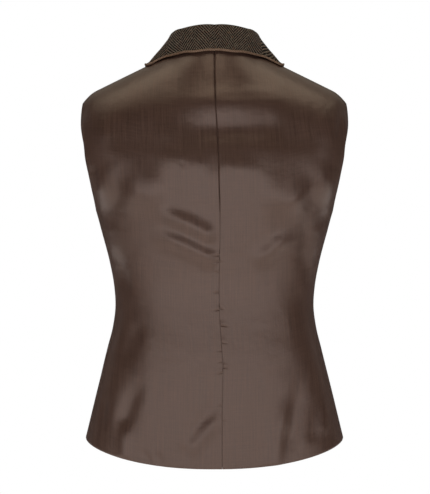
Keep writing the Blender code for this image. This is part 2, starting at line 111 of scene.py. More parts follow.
# Closing edge and V of the front: distance from the middle line.
FRONT_EDGE = {
    "height": (-600, -560, -520, -485, -455, -430, -300, -240, -222, -182, -120, -60, -1.6),
    "x":      (36, 22, 6, -6, -13, -15, -15, -15, -12.5, 3, 23.5, 43, 62),
}
# Armhole edge: angle round the body once clear of the underarm corner.
ARMHOLE = {
    BACK:  {"height": (-222, -200, -168, -134, -100, -68), "angle": (75, 73, 66.8, 62.8, 65, 65.6)},
    FRONT: {"height": (-222, -180, -140, -100, -68), "angle": (57, 51.5, 50.5, 57, 65)},
}
ARMHOLE_CORNER = {BACK: 45.0, FRONT: 60.0}  # height of the rounded underarm corner

# Collar stations from the nape (0) over the shoulder neck point (1) to the end
# of the V (2). Stand is its height, turn the angle from the cloth's own run to
# its normal, radius that of the roll; the outer edge lies at edge_x, where
# edge_over is 1 on the back, 0 on the shoulder line and -1 on the chest.
COLLAR = {
    "along":     (-0.25, 0, 0.25, 0.38, 0.5, 0.61, 0.72, 0.88, 1.0, 1.08, 1.2, 1.4, 1.6, 1.8, 1.9, 2.0),
    "stand":     (23, 22.6, 23, 24.4, 26, 25.2, 23.5, 19, 15.5, 13, 10, 6.5, 4, 2.6, 2.1, 1.8),
    "turn":      (26, 22, 26, 30, 35, 39.5, 44, 53, 63, 69, 76, 84, 88, 88, 88, 88),
    "radius":    (4, 4, 4, 4, 4, 3.9, 3.8, 3.5, 3.3, 3.2, 3.1, 3.0, 2.8, 2.5, 2.3, 2.1),
    "edge_x":    (-27, 0, 27, 39.5, 50, 59, 67.5, 81, 90, 93, 92, 86, 74, 50, 29.5, 12),
    "edge_over": (0.614, 0.65, 0.614, 0.523, 0.425, 0.33, 0.258, 0.225, 0.22, 0.1,
                  -0.21, -0.52, -0.705, -0.845, -0.9, -0.93),
    "clear":     (4.6, 4.6, 4.6, 4.4, 4.2, 4, 3.7, 3.2, 2.7, 2.4, 2.9, 3.3, 3.5, 3.4, 3.3, 3.2),
}
V_END = -182.0
COLLAR_BOW = 0.7  # the fall bows out between the roll and its edge
STAND_BOW = 0.02  # share of its height by which the stand bows
COLLAR_GAP = 0.7  # from the neck edge to the foot of the collar
COLLAR_STEP = 0.02  # of the way along, to find which way the neck edge runs
LEAST_DROP = 0.15  # the fall runs at least this steeply into the cloth
# Points of a collar section, and stations behind and before the shoulder.
COLLAR_GRID = dict(stand=7, stand_share=0.92, roll=13, fall=25, behind=55, before=61)

LAP = dict(out=TWEED + 0.9, start=-54.0, end=-22.0)  # right front over left
BUTTON_HEIGHTS = (-232, -298, -364, -430)
BUTTON_THICK, BUTTON_RADIUS = 3.2, 9.0
NECK_SHARE = 0.45  # of a back's width at the top that lies at the neck

# Largest folds of the back: lines of soft creases. Each runs between two points, its
# middle moved aside by bow; half is its half-width and depth what it lifts (+) or
# sinks the cloth, eased in over head and out over tail (shares of its length).
FOLDS = (
    # x0,   z0,   x1,   z1, bow, half, depth, head, tail
    (112, -78, -108, -69, 0, 18, 4.0, 0.5, 0.18),     # roll of cloth under the yoke
    (76, -114, -106, -109, 0, 18, -4.8, 0.45, 0.18),  # hollow below it
    (156, -116, 66, -118, 0, 24, -3.0, 0.3, 0.4),     # hollows over the shoulder blades
    (-66, -118, -156, -116, 0, 24, -3.0, 0.4, 0.3),
    (134, -196, 56, -202, -3, 27, 6.4, 0.4, 0.4),     # shoulder blades
    (-56, -204, -134, -202, 0, 27, 6.4, 0.4, 0.4),
    (86, -219, -6, -262, -3, 12, 5.2, 0.5, 0.2),      # drag lines to the middle seam
    (92, -248, -8, -293, -3, 12, 6.2, 0.5, 0.2),
    (-58, -292, -104, -238, -3, 11, -1.8, 0.4, 0.4),
    (-86, -228, -136, -174, 0, 12, 2.4, 0.4, 0.4),    # from the waist to the armhole
    (141, -262, 118, -346, 0, 10, -3.0, 0.5, 0.4),    # pinches at the sides of the waist
    (-130, -212, -126, -334, 4, 10, -3.0, 0.4, 0.4),
    (96, -366, 126, -440, 4, 12, -2.8, 0.4, 0.4),     # hanging folds of the skirt
    (98, -446, 128, -534, 4, 12, -3.4, 0.4, 0.35),
    (-122, -430, -94, -566, 0, 12, -3.2, 0.45, 0.3),
    (-4, -474, 50, -562, 0, 10, -2.2, 0.4, 0.2),
)
# Finer and broader creases of the same kind, which the solids leave out.
CREASES = (
    (88, -152, 2, -161, -2, 13, 1.6, 0.35, 0.2),      # lower edge of the shoulder blades
    (-2, -160, -68, -168, 0, 14, 1.6, 0.2, 0.4),
    (14, -70, -98, -66, -2, 5, -0.5, 0.3, 0.25),      # line under the yoke
    (46, -150, 42, -166, 0, 4, -0.5, 0.5, 0.5),       # small nick
    (158, -158, 147, -232, 0, 13, 2.4, 0.4, 0.6),     # the cloth stands off at the armholes
    (-160, -154, -149, -230, 0, 13, 2.4, 0.4, 0.6),
    (166, -156, 158, -194, 0, 7, -1.0, 0.4, 0.4),     # pulls at the armholes
    (152, -206, 142, -250, 0, 10, -0.8, 0.4, 0.4),
    (-175, -80, -169, -134, 0, 6, -1.4, 0.4, 0.4),
    (-156, -216, -142, -250, 0, 8, -1.2, 0.4, 0.4),
    (-50, -298, -106, -244, 0, 12, 5.0, 0.4, 0.4),    # pull from the right side of the waist
    (150, -148, 142, -216, 0, 18, 2.4, 0.45, 0.45),   # beside the armholes
    (-150, -148, -142, -216, 0, 18, 2.4, 0.45, 0.45),
    (86, -345, 92, -505, 0, 14, 1.0, 0.3, 0.3),       # edges of the flat middle
    (-102, -340, -106, -436, 0, 14, 1.0, 0.3, 0.3),
    (142, -376, 158, -458, 0, 7, 1.6, 0.4, 0.4),
    (148, -468, 158, -526, 0, 7, -1.8, 0.4, 0.4),
    (139, -440, 138, -540, 0, 10, 1.0, 0.4, 0.3),
    (-138, -462, -121, -554, 0, 9, 1.0, 0.4, 0.3),
    (-14, -488, 48, -558, 0, 12, 3.0, 0.4, 0.3),      # fold that runs from the seam to the hem
    (-98, -470, -80, -572, 0, 10, 3.4, 0.4, 0.1),     # folds that hang to the hem
    (120, -500, 124, -562, 0, 9, 2.6, 0.4, 0.15),
    (100, -540, 84, -569, 0, 5, -1.2, 0.5, 0.3),
    (80, -542, 70, -571, 0, 5, -1.2, 0.5, 0.3),
    (-136, -468, -130, -542, 0, 12, -2.0, 0.4, 0.3),
    (-152, -478, -150, -532, 0, 8, 1.3, 0.4, 0.3),
)
# Puckers where the middle seam draws the cloth in: side of the seam, height, how
# far they run from it and how deep they are.
PUCKERS = (
    (LEFT, -118, 7, 0.35), (RIGHT, -122, 10, 0.5), (RIGHT, -136, 8, 0.45), (LEFT, -205, 6, 0.25),
    (LEFT, -281, 11, 0.75), (LEFT, -290, 13, 0.8), (RIGHT, -290, 6, 0.4), (LEFT, -304, 9, 0.6),
    (LEFT, -331, 11, 0.6), (RIGHT, -353, 7, 0.5), (LEFT, -355, 8, 0.6), (RIGHT, -376, 12, 0.8),
    (RIGHT, -399, 9, 0.5), (LEFT, -410, 7, 0.5), (LEFT, -425, 8, 0.45), (RIGHT, -433, 9, 0.7),
    (LEFT, -440, 10, 0.5), (LEFT, -484, 8, 0.4), (RIGHT, -505, 7, 0.35),
)
# The middle seam sinks by depth, and by the low share of it under fade_from.
SEAM_ROLL = dict(half=0.8, depth=0.9, low=0.35, fade_from=-195.0, fade_run=50.0)
# A pucker starts beside the seam, droops and tapers as it runs out, and has a soft
# roll of cloth above it.
PUCKER = dict(half=1.0, start=0.8, droop=0.12, taper=0.7, roll=0.7, roll_half=2.6, roll_above=3.4)
# Rows of the back stand closer just under the height of each pucker.
ROW_DENSITY = dict(extra=3.5, half=2.4, below=0.5, samples=4000)
# The side seams sink by depth, from a little above the underarm down.
SIDE_SEAM = dict(depth=0.9, half=2.2, above=12, run=24)
SHARE_LENGTH = 190  # cloth from the middle line to the side seam
DART = {"height": (-560, -450, -360, -270), "x": (76, 74, 72, 79)}
DART_SINK = dict(depth=1.0, half=2.0, top=-262, run=24)
ROWS = {BACK: (220, 118), FRONT: (150, 110)}  # below and beside the armhole
ON_RIDGE = 0.5  # this near to the shoulder line, a point is on it
SEAM_EDGE = 0.1  # how far the rounded edge of a panel stands out in a seam
FREE_EDGE = {BACK: 0.7, FRONT: 1.0}
COLLAR_EDGE = 0.9
RIM_ROWS = 3  # rows of points round an edge
PIPING_SIDES = 14
TUBE_START = (0.31, 0.22, 0.93)  # a direction that no thread or piping runs in


# ---- curves
def curve(table, name, at, key="height"):
    """Smooth line through one column of a table."""
    xs, ys = np.asarray(table[key], float), np.asarray(table[name], float)
    slope = np.gradient(ys, xs)
    at = np.clip(at, xs[0], xs[-1])
    i = np.clip(np.searchsorted(xs, at) - 1, 0, len(xs) - 2)
    h = xs[i + 1] - xs[i]
    t = (at - xs[i]) / h
    return ((1 + 2 * t) * (1 - t) ** 2 * ys[i] + t * (1 - t) ** 2 * h * slope[i]
            + t * t * (3 - 2 * t) * ys[i + 1] + t * t * (t - 1) * h * slope[i + 1])


def ease(t):
    """Smooth step from 0 to 1."""
    t = np.clip(t, 0, 1)
    return t * t * (3 - 2 * t)


def unit(v):
    return v / np.linalg.norm(v, axis=-1, keepdims=True)


def steps_along(points, axis=0):
    """Length from the start of a line of points, or of each row or column of a grid."""
    step = np.linalg.norm(np.diff(points, axis=axis), axis=-1)
    start = np.zeros_like(np.take(step, [0], axis=axis))
    return np.concatenate([start, np.cumsum(step, axis=axis)], axis=axis)


def quarter_table():
    """Angle against share of the way from the middle line to the side."""
    section = COLUMN_SECTION
    ang = np.linspace(0, math.pi / 2, section["steps"])
    x = section["half_width"] * np.sin(ang) ** (2 / section["power"])
    y = section["depth"] * np.cos(ang) ** (2 / section["power"])
    run = np.concatenate([[0], np.cumsum(np.hypot(np.diff(x), np.diff(y)))])
    return run / run[-1], ang


SHARE, SHARE_ANGLE = quarter_table()
SIDE_ANGLE = math.pi / 2 - 0.0008  # just short of the plane of the side seam


def angle_of_share(share):
    return np.sign(share) * np.interp(np.abs(share), SHARE, SHARE_ANGLE)


def share_of_angle(ang):
    return np.sign(ang) * np.interp(np.abs(ang), SHARE_ANGLE, SHARE)


# ---- surface
def ridge_y(x):
    """Depth of the shoulder line."""
    return SHOULDER_LINE["y"] - SHOULDER_LINE["forward"] * (x / SHOULDER_TIP_X) ** 2


def ridge_z(x):
    """Height of the shoulder line."""
    x = np.abs(x)
    inside = 1 - np.clip(x / SHOULDER_NECK_X, 0, 1) ** 2
    beyond = np.clip(x - TIP_DROP["start"], 0, None) / TIP_DROP["run"]
    return (SHOULDER_NECK_Z - SHOULDER_SLOPE * np.clip(x - SHOULDER_NECK_X, 0, None)
            + SHOULDER_SLOPE * SHOULDER_NECK_X / 2 * inside + NECK_ROOT * inside ** 2
            - TIP_DROP["fall"] * beyond ** 2)


def lean(face, x, t):
    """Share of its depth that the figure keeps on the way up to the shoulder line."""
    if face == FRONT:
        power = ROOF_POWER[FRONT] - (ROOF_POWER[FRONT] - FRONT_POWER_TOP) * ease(2 * t - 1)
    else:
        power = ROOF_POWER[BACK] + NAPE_POWER * np.clip(1 - np.abs(x) / SHOULDER_NECK_X, 0, 1) ** 2
    return (1 - t ** ROOF_BEND[face]) ** power


def height_of_lean(face, x, wanted):
    """Height at which the figure keeps that share of its depth."""
    low, high = 0.0, 1.0
    for _ in range(HALVINGS):
        mid = (low + high) / 2
        low, high = (mid, high) if lean(face, x, mid) > wanted else (low, mid)
    return ROOF_START[face] + (float(ridge_z(x)) - ROOF_START[face]) * low


def body(face, ang, z):
    """The smooth figure under the folds."""
    ang, z = np.broadcast_arrays(np.asarray(ang, float), np.asarray(z, float))
    n = ROUND[face]
    x = np.sign(ang) * curve(BODY, "half_width", z) * np.abs(np.sin(ang)) ** (2 / n)
    depth = curve(BODY, "back" if face == BACK else "front", z)
    wall = face * depth * np.abs(np.cos(ang)) ** (2 / n)
    start = ROOF_START[face]
    t = np.clip((z - start) / (ridge_z(x) - start), 0, 1)
    y = ridge_y(x) + (wall - ridge_y(x)) * lean(face, x, t)
    y = np.where(z > start, y, wall)
    if face == FRONT:
        off = (((np.abs(x) - BUST["x"]) / BUST["half_x"]) ** 2
               + ((z - BUST["height"]) / BUST["half_height"]) ** 2)
        y = y - BUST["out"] * np.exp(-off) * np.cos(ang) ** 0.5
    return np.stack([x, y, z], axis=-1)


def normal(face, ang, z):
    """Outward normal of the figure, and of the shoulder line near it."""
    ang, z = np.broadcast_arrays(np.asarray(ang, float), np.asarray(z, float))
    here = body(face, ang, z)
    step = np.where(ang < 0, -NORMAL_STEP["angle"], NORMAL_STEP["angle"])
    run = (here - body(face, ang - step, z)) / step[..., None]
    rise = here - body(face, ang, z - NORMAL_STEP["height"])
    n = unit(-face * np.cross(run, rise))
    x = here[..., 0]
    top = unit(np.stack([np.sign(x) * SHOULDER_SLOPE, np.zeros_like(x), np.ones_like(x)], axis=-1))
    near = np.clip(1 - (ridge_z(x) - z) / RIDGE_BLEND, 0, 1)[..., None]
    return unit(n * (1 - near) + top * near)


def angle_at(face, x, z):
    """Angle round the body at an x."""
    share = np.clip(np.abs(x) / curve(BODY, "half_width", z), 0, 1)
    return np.sign(x) * np.arcsin(share ** (ROUND[face] / 2))


def crease_height(rows, ang, point):
    """How far lines of creases lift (+) or sink the cloth."""
    out = 0
    p = point[..., [0, 2]]
    for x0, z0, x1, z1, bow, half, depth, head, tail in rows:
        a, run = np.array([x0, z0]), np.array([x1 - x0, z1 - z0])
        length = np.hypot(*run)
        t = ((p - a) @ run) / length ** 2
        across = ((p - a) @ np.array([-run[1], run[0]])) / length - 4 * bow * t * (1 - t)
        out = out + depth * ease(t / head) * ease((1 - t) / tail) * np.exp(-(across / half) ** 2)
    return out * (1 - (np.abs(ang) / (math.pi / 2)) ** SIDE_FADE)


def cloth(face, side, ang, z):
    """Outer point of the cloth and its normal, as the solids have it."""
    point, n = body(face, ang, z), normal(face, ang, z)
    out = crease_height(FOLDS, ang, point) if face == BACK else np.zeros(point.shape[:-1])
    if face == FRONT and side == RIGHT:
        out = out + LAP["out"] * ease((point[..., 0] - LAP["start"]) / (LAP["end"] - LAP["start"]))
    return point + n * out[..., None], n


# ---- outlines
def roof_point(side, x, over):
    """Face, angle and height at x; over runs 1 (back) - 0 (ridge) - -1 (chest)."""
    face = BACK if over >= 0 else FRONT
    z = height_of_lean(face, x, abs(over))
    return face, side * float(angle_at(face, x, z)), z


def neckline(along):
    """x and height of the neck edge: 0 nape, 1 shoulder, 2 end of the V."""
    if along > 1:
        z = SHOULDER_NECK_Z + (V_END - SHOULDER_NECK_Z) * (along - 1)
        return FRONT, float(curve(FRONT_EDGE, "x", z)), z
    psi = along * math.pi / 2
    x = SHOULDER_NECK_X * math.sin(psi) ** (2 / NECKLINE_POWER)
    y0 = float(ridge_y(x))
    y = y0 + (NAPE_Y - y0) * max(math.cos(psi), 0) ** (2 / NECKLINE_POWER)
    wall = float(body(BACK, angle_at(BACK, x, ROOF_START[BACK]), ROOF_START[BACK])[1])
    return BACK, x, height_of_lean(BACK, x, (y - y0) / (wall - y0))


def armhole_angle(face, z):
    """Outer edge of a panel above the underarm."""
    wall = np.radians(curve(ARMHOLE[face], "angle", z))
    h = np.clip((z - UNDERARM) / ARMHOLE_CORNER[face], 0, 1)
    return SIDE_ANGLE - (SIDE_ANGLE - wall) * np.sqrt(1 - (1 - h) ** 2)


def inner_share(face, side, z):
    """Inner edge of a panel: the middle seam or the closing edge."""
    if face == BACK:
        x = curve(BACK_SEAM, "x", z) + side * SEAM_GAP / 2
    else:
        x = side * curve(FRONT_EDGE, "x", z)
    return share_of_angle(angle_at(face, x, z))


def hem_height(face, side, columns):
    """Height of the lower edge under each column of a panel."""
    if face == FRONT:
        return curve(FRONT_HEM, "height", columns, "round")
    h = BACK_HEM
    seam = side * inner_share(BACK, side, h["middle"])
    share = np.abs(seam + (1 - seam) * columns)
    return h["side"] + (h["middle"] - h["side"]) * (1 - share ** h["start"]) ** h["sweep"]


def armhole_row(face, side, columns, z, top_z):
    """x and angle along a row that ends at the armhole."""
    share = (inner_share(face, side, z) * (1 - columns)
             + side * share_of_angle(armhole_angle(face, z)) * columns)
    ang = angle_of_share(share)
    return body(face, ang, np.minimum(z, top_z))[..., 0], ang


def panel(face, side, columns, hem_shares, arm_rows):
    """Angles and heights of a panel's grid, from the hem to the shoulder."""
    columns = np.asarray(columns)
    hem = hem_height(face, side, columns)
    side_share = share_of_angle(SIDE_ANGLE)
    angles, heights = [], []
    for row in hem_shares:
        z = hem + (UNDERARM - hem) * row
        share = inner_share(face, side, z) * (1 - columns) + side * side_share * columns
        angles.append(angle_of_share(share))
        heights.append(z)
    top_x, top_z = panel_top(face, columns)
    fan = side * top_x - armhole_row(face, side, columns, top_z, top_z)[0]
    for row in np.linspace(0, 1, arm_rows + 1):
        z = UNDERARM + (top_z - UNDERARM) * (1 - math.cos(math.pi * row)) / 2
        x, ang = armhole_row(face, side, columns, z, top_z)
        shift = fan * ease((z - STRAIGHT_UP_TO) / (top_z - STRAIGHT_UP_TO))
        ang = np.where(np.abs(shift) > TINY, angle_at(face, x + shift, z), ang)
        angles.append(ang)
        heights.append(z)
    return np.array(angles), np.array(heights)


def panel_top(face, columns):
    """x and height where each column ends, at the neckline or the shoulder."""
    xs, zs = [], []
    for c in columns:
        if face == BACK and c < NECK_SHARE:
            _, x, z = neckline(c / NECK_SHARE)
            if c == 0:
                x = SEAM_GAP / 2
        else:
            q = (c - NECK_SHARE) / (1 - NECK_SHARE) if face == BACK else c
            x = SHOULDER_NECK_X + (SHOULDER_TIP_X - SHOULDER_NECK_X) * q
            z = float(ridge_z(x))
        xs.append(x)
        zs.append(z)
    return np.array(xs), np.array(zs)


# ---- meshes
def link(obj):
    bpy.context.scene.collection.objects.link(obj)
    return obj


def new_object(name, points, faces, uvs, slots, face_slots=None):
    """A smooth mesh from millimetre points; uvs are one pair a point, in metres."""
    mesh = bpy.data.meshes.new(name)
    mesh.from_pydata((np.asarray(points, float) * MM).tolist(), [], faces)
    mesh.polygons.foreach_set("use_smooth", [True] * len(mesh.polygons))
    if face_slots is not None:
        mesh.polygons.foreach_set("material_index", face_slots)
    layer = mesh.uv_layers.new(name="cloth")
    corner = np.empty(len(mesh.loops), dtype=np.int32)
    mesh.loops.foreach_get("vertex_index", corner)
    layer.data.foreach_set("uv", np.asarray(uvs, float)[corner].ravel())
    for material in slots:
        mesh.materials.append(material)
    mesh.update()
    return link(bpy.data.objects.new(name, mesh))


def border(rows, cols):
    """Grid indices once round the edge: hem, side, top, inner edge."""
    hem = [(0, j) for j in range(cols)]
    side = [(i, cols - 1) for i in range(1, rows)]
    top = [(rows - 1, j) for j in range(cols - 2, -1, -1)]
    inner = [(i, 0) for i in range(rows - 2, 0, -1)]
    return hem + side + top + inner


def closed_wall(name, outer, inner, uv, puff, slots):
    """A wall between two grids with a rounded edge that stands out by puff."""
    rows, cols = outer.shape[:2]

    def at(layer, i, j):
        return layer * rows * cols + i * cols + j

    points = [outer.reshape(-1, 3), inner.reshape(-1, 3)]
    uvs = [uv.reshape(-1, 2), uv.reshape(-1, 2)]
    faces, marks = [], []
    for layer in (0, 1):
        i, j = np.meshgrid(np.arange(rows - 1), np.arange(cols - 1), indexing="ij")
        quad = [at(layer, i, j), at(layer, i, j + 1), at(layer, i + 1, j + 1), at(layer, i + 1, j)]
        quad = np.stack(quad if layer == 0 else quad[::-1], axis=-1).reshape(-1, 4)
        faces += quad.tolist()
        marks += [layer] * len(quad)
    edge = border(rows, cols)
    ei, ej = np.array(edge).T
    near = (np.clip(ei, 1, rows - 2), np.clip(ej, 1, cols - 2))
    away = unit(outer[ei, ej] - outer[near] + LEAST)
    mid = (outer[ei, ej] + inner[ei, ej]) / 2
    half = (outer[ei, ej] - inner[ei, ej]) / 2
    loops = [[at(0, *e) for e in edge]]
    count = 2 * rows * cols
    for k in range(1, RIM_ROWS + 1):
        b = math.pi * k / (RIM_ROWS + 1)
        points.append(mid + half * math.cos(b) + away * (puff[ei, ej] * math.sin(b))[:, None])
        uvs.append(uv[ei, ej])
        loops.append(list(range(count, count + len(edge))))
        count += len(edge)
    loops.append([at(1, *e) for e in edge])
    for a, b in zip(loops, loops[1:]):
        for k in range(len(edge)):
            m = (k + 1) % len(edge)
            faces.append([a[m], a[k], b[k], b[m]])
            marks.append(0)
    obj = new_object(name, np.concatenate(points), faces, np.concatenate(uvs), slots, marks)
    fix = bmesh.new()
    fix.from_mesh(obj.data)
    bmesh.ops.recalc_face_normals(fix, faces=fix.faces[:])
    fix.to_mesh(obj.data)
    fix.free()
    return obj


def tube(centres, radius, sides):
    """Round tube through the centres, and how far along and round each point is."""
    centres = np.asarray(centres, float)
    run = unit(np.gradient(centres, axis=0))
    along = steps_along(centres)
    points, faces, uvs = [], [], []
    u = unit(np.cross(run[0], TUBE_START))
    for c, t, s in zip(centres, run, along):
        u = unit(u - t * (u @ t))
        v = np.cross(t, u)
        for k in range(sides):
            b = 2 * math.pi * k / sides
            points.append(c + radius * (math.cos(b) * u + math.sin(b) * v))
            uvs.append((s * MM, b * radius * MM))
    rows = len(centres)
    for i in range(rows - 1):
        for k in range(sides):
            m = (k + 1) % sides
            faces.append([i * sides + k, i * sides + m, (i + 1) * sides + m, (i + 1) * sides + k])
    faces += [list(range(sides))[::-1], [(rows - 1) * sides + k for k in range(sides)]]
    return points, faces, uvs


# ---- materials
class Nodes:
    """Small helper to lay out a material's nodes."""

    def __init__(self, name):
        self.material = bpy.data.materials.new(name)
        self.material.use_nodes = True
        self.tree = self.material.node_tree
        self.shader = self.tree.nodes["Principled BSDF"]
        self.uv = self.add("ShaderNodeTexCoord").outputs["UV"]

    def add(self, kind, values=(), **options):
        node = self.tree.nodes.new(kind)
        for key, value in options.items():
            setattr(node, key, value)
        for key, value in dict(values).items():
            self.put(node.inputs[key], value)
        return node

    def put(self, socket, value):
        if isinstance(value, bpy.types.NodeSocket):
            self.tree.links.new(value, socket)
        else:
            socket.default_value = value

    def math(self, operation, a, b=0.0):
        node = self.add("ShaderNodeMath", operation=operation)
        for socket, value in zip(node.inputs, (a, b)):
            self.put(socket, value)
        return node.outputs[0]

    def plus(self, a, b):
        return self.math("ADD", a, b)

    def minus(self, a, b):
        return self.math("SUBTRACT", a, b)

    def times(self, a, b):
        return self.math("MULTIPLY", a, b)

    def split(self, vector):
        node = self.add("ShaderNodeSeparateXYZ", {"Vector": vector})
        return node.outputs["X"], node.outputs["Y"]

    def vector(self, x, y):
        node = self.add("ShaderNodeCombineXYZ", {"X": x, "Y": y})
        return node.outputs[0]

    def noise(self, vector, scale, detail, rough):
        values = {"Vector": vector, "Scale": scale, "Detail": detail, "Roughness": rough}
        return self.add("ShaderNodeTexNoise", values).outputs["Fac"]

    def ramp(self, value, low, high, out_low=0.0, out_high=1.0):
        node = self.add("ShaderNodeMapRange", {"Value": value, "From Min": low, "From Max": high,
                                               "To Min": out_low, "To Max": out_high})
        return node.outputs["Result"]

    def mix(self, factor, a, b, blend="MIX"):
        """Mix of two colours; the node's sockets 6, 7 and its output 2 are the colours."""
        node = self.add("ShaderNodeMix", data_type="RGBA", blend_type=blend)
        for socket, value in zip((node.inputs[0], node.inputs[6], node.inputs[7]), (factor, a, b)):
            is_colour = isinstance(value, tuple)
            self.put(socket, (*value, 1.0) if is_colour else value)
        return node.outputs[2]

    def shades(self, factor, colour, low, high):
        """A colour from low to high times itself."""
        return self.mix(factor, tuple(c * low for c in colour), tuple(c * high for c in colour))

    def bump(self, height, distance, strength=1.0, over=None):
        values = {"Height": height, "Distance": distance, "Strength": strength}
        if over is not None:
            values["Normal"] = over
        return self.add("ShaderNodeBump", values).outputs["Normal"]

    def finish(self, **values):
        """Set the shader's inputs by name, _ for a space, and hand over the material."""
        for key, value in values.items():
            self.put(self.shader.inputs[key.replace("_", " ")], value)
        return self.material


SATIN_TINT = (1.0, 0.81, 0.735, 1.0)  # of its gloss


def satin_material(name, base, warm, rough, specular):
    """Satin: fine warp lines run down the cloth, a closer weft crosses them."""
    n = Nodes(name)
    u, v = n.split(n.uv)

    def lines(across, up, grain):
        return n.noise(n.vector(n.times(u, across), n.times(v, up)), 1.0, 3.0, grain)

    warp, weft, broad = lines(700.0, 14.0, 0.65), lines(22.0, 650.0, 0.65), lines(24.0, 9.0, 0.55)
    thread = n.plus(n.times(warp, 0.65), n.times(weft, 0.35))
    shade = n.shades(n.ramp(thread, 0.3, 0.7), base, 0.6, 1.4)
    colour = n.mix(n.ramp(broad, 0.35, 0.7), shade, n.mix(1.0, shade, warm, "MULTIPLY"))
    roughness = n.ramp(thread, 0.25, 0.75, rough - 0.08, rough + 0.08)
    ripples = n.noise(n.uv, 45.0, 3.0, 0.5)
    bump = n.bump(ripples, 0.0022, 0.28, n.bump(thread, 0.0003, 0.5))
    return n.finish(Base_Color=colour, Roughness=roughness, Normal=bump,
                    Specular_IOR_Level=specular, Specular_Tint=SATIN_TINT)


# Width of a column of the weave and pitch of its lines in metres, how steeply they
# run, how far they wander and how uneven their threads are.
HERRINGBONE = dict(width=0.0222, pitch=0.0044, slope=1.1, wander=0.0006, slubs=0.9)
# Flecks: channel of a cell's hue that picks them, above or below what, how much of
# the cloth's colour they cover, and theirs.
FLECKS = (
    (0, "GREATER_THAN", 0.95, 0.5, (0.055, 0.075, 0.035)),    # green
    (1, "GREATER_THAN", 0.955, 0.55, (0.16, 0.06, 0.025)),    # rust
    (0, "LESS_THAN", 0.02, 0.5, (0.3, 0.25, 0.18)),           # pale
)


def tweed_material(name, dark, light):
    """Herringbone wool: twill lines that turn back at each column, with flecks."""
    n = Nodes(name)
    u, v = n.split(n.uv)
    weave = HERRINGBONE
    wander = n.noise(n.uv, 60.0, 2.0, 0.5)
    u = n.plus(u, n.times(n.minus(wander, 0.5), weave["wander"]))
    place = n.plus(n.math("DIVIDE", u, weave["width"]), 0.5)
    column = n.math("FLOOR", place)
    odd = n.minus(column, n.times(n.math("FLOOR", n.times(column, 0.5)), 2.0))
    inside = n.minus(n.minus(place, column), 0.5)
    sign = n.minus(1.0, n.times(odd, 2.0))
    rise = n.times(n.times(inside, sign), weave["width"] * weave["slope"])
    phase = n.plus(n.math("DIVIDE", n.minus(v, rise), weave["pitch"]), n.times(odd, 0.5))
    wave = n.math("SINE", n.times(phase, 2 * math.pi))
    slubs = n.noise(n.vector(u, v), 520.0, 2.0, 0.7)
    patch = n.noise(n.uv, 110.0, 2.0, 0.6)
    line = n.ramp(n.plus(wave, n.times(n.minus(slubs, 0.5), weave["slubs"])), 0.1, 0.75)
    strength = n.ramp(patch, 0.3, 0.7, 0.6, 1.0)
    colour = n.mix(n.times(line, strength), dark, light)
    cells = n.add("ShaderNodeTexVoronoi", {"Vector": n.uv, "Scale": 1500.0, "Randomness": 1.0})
    hue = n.split(cells.outputs["Color"])
    for channel, test, limit, cover, fleck in FLECKS:
        colour = n.mix(n.times(n.math(test, hue[channel], limit), cover), colour, fleck)
    nap = n.noise(n.uv, 900.0, 3.0, 0.7)
    bump = n.bump(n.plus(n.times(wave, 0.5), n.times(nap, 0.8)), 0.00032, 0.8)
    return n.finish(Base_Color=colour, Roughness=0.92, Normal=bump, Specular_IOR_Level=0.12,
                    Sheen_Weight=0.06, Sheen_Roughness=0.5)


BIAS_RIB = dict(width=0.0027, slant=0.8)  # width in metres


def piping_material():
    """Bias-cut satin rolled round a cord: slanting ribs catch the light, and their colour is painted
    lighter on the crests and darker between them.
    """
    n = Nodes("piping_bias_satin")
    u, v = n.split(n.uv)
    slant = n.plus(u, n.times(v, BIAS_RIB["slant"]))
    rib = n.math("SINE", n.times(slant, 2 * math.pi / BIAS_RIB["width"]))
    height = n.plus(n.times(rib, 0.45), n.noise(n.uv, 260.0, 2.0, 0.5))
    # The colour follows the height of the ribs: painted highlight on their crests and painted shade in
    # the troughs between them.
    colour = n.mix(n.ramp(height, 0.1, 0.9), (0.085, 0.046, 0.027), (0.200, 0.118, 0.074))
    bump = n.bump(height, 0.0004, 0.7)
    return n.finish(Base_Color=colour, Roughness=0.45, Normal=bump, Specular_IOR_Level=0.4)


def button_material():
    """Dark horn with a swirled grain."""
    n = Nodes("button_horn")
    place = n.add("ShaderNodeTexCoord").outputs["Object"]
    swirl = n.noise(place, 170.0, 4.0, 0.6)
    values = {"Vector": place, "Scale": 45.0, "Distortion": 7.0, "Detail": 3.0}
    streak = n.add("ShaderNodeTexWave", values).outputs["Fac"]
    grain = n.plus(n.times(swirl, 0.6), n.times(streak, 0.4))
    colour = n.mix(n.ramp(grain, 0.3, 0.75), (0.018, 0.011, 0.007), (0.085, 0.048, 0.026))
    bump = n.bump(swirl, 0.0002, 0.15)
    return n.finish(Base_Color=colour, Roughness=0.28, Normal=bump, Specular_IOR_Level=0.5)


def thread_material(name, colour):
    """Twisted thread."""
    n = Nodes(name)
    twist = n.noise(n.uv, 1400.0, 2.0, 0.5)
    shade = n.shades(n.ramp(twist, 0.3, 0.7), colour, 0.6, 1.25)
    bump = n.bump(twist, 0.0001, 0.6)
    return n.finish(Base_Color=shade, Roughness=0.7, Normal=bump, Specular_IOR_Level=0.3)


SATIN_BACK = satin_material("satin_back", (0.052, 0.028, 0.021), (0.95, 0.93, 0.88), 0.35, 0.54)
SATIN_LINING = satin_material("satin_lining", (0.062, 0.037, 0.028), (0.95, 0.92, 0.90), 0.42, 0.4)
TWEED_CLOTH = tweed_material("tweed_herringbone", (0.0048, 0.0035, 0.0027), (0.148, 0.107, 0.080))
PIPING_CLOTH = piping_material()
HORN = button_material()
DARK_THREAD = thread_material("thread_dark", (0.035, 0.024, 0.017))
SEAM_THREAD = thread_material("thread_seam", (0.022, 0.012, 0.009))


